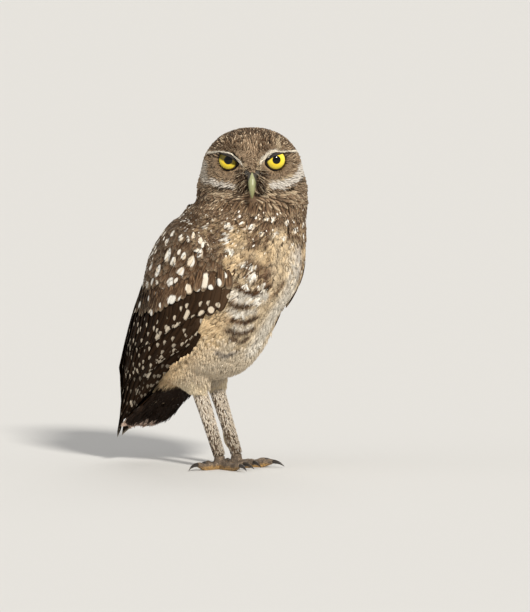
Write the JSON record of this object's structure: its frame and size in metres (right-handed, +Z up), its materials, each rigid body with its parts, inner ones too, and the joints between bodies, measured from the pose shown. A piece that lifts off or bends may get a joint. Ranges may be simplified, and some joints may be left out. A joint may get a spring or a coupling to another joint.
{
  "type": "burrowing owl",
  "caption": "Small long-legged owl standing upright, wings folded, head turned to its right, as a life-size still model.",
  "frame": {"origin": "middle of the bird's base: the centre of its bounding box in x and y, on the floor under its soles", "axes": "+Z up; -Y is the way the body faces; +X is towards the bird's left"},
  "size_m": [0.0982, 0.1546, 0.2262],
  "materials": {
    "brown_feathers": "matt brown plumage with white and buff spots",
    "pale_feathers": "matt buff and white plumage with brown bars",
    "eye": "wet, clear cornea over a yellow iris and black pupil",
    "bill": "smooth horn, satin",
    "toe_skin": "small scales and sparse bristles",
    "claw": "polished dark horn"
  },
  "bodies": {
    "root": {"head": "brown_feathers", "neck": "brown_feathers", "torso": "pale_feathers", "wing_right": "brown_feathers", "wing_left": "brown_feathers", "tail": "brown_feathers", "thigh_right": "pale_feathers", "thigh_left": "pale_feathers", "leg_right": "pale_feathers", "leg_left": "pale_feathers", "foot_right": "toe_skin", "foot_left": "toe_skin", "eye_right": "eye", "eye_left": "eye", "bill_upper": "bill", "bill_lower": "bill", "claw_right_inner": "claw", "claw_right_middle": "claw", "claw_right_outer": "claw", "claw_right_hind": "claw", "claw_left_inner": "claw", "claw_left_middle": "claw", "claw_left_outer": "claw", "claw_left_hind": "claw"}
  },
  "joints": []
}
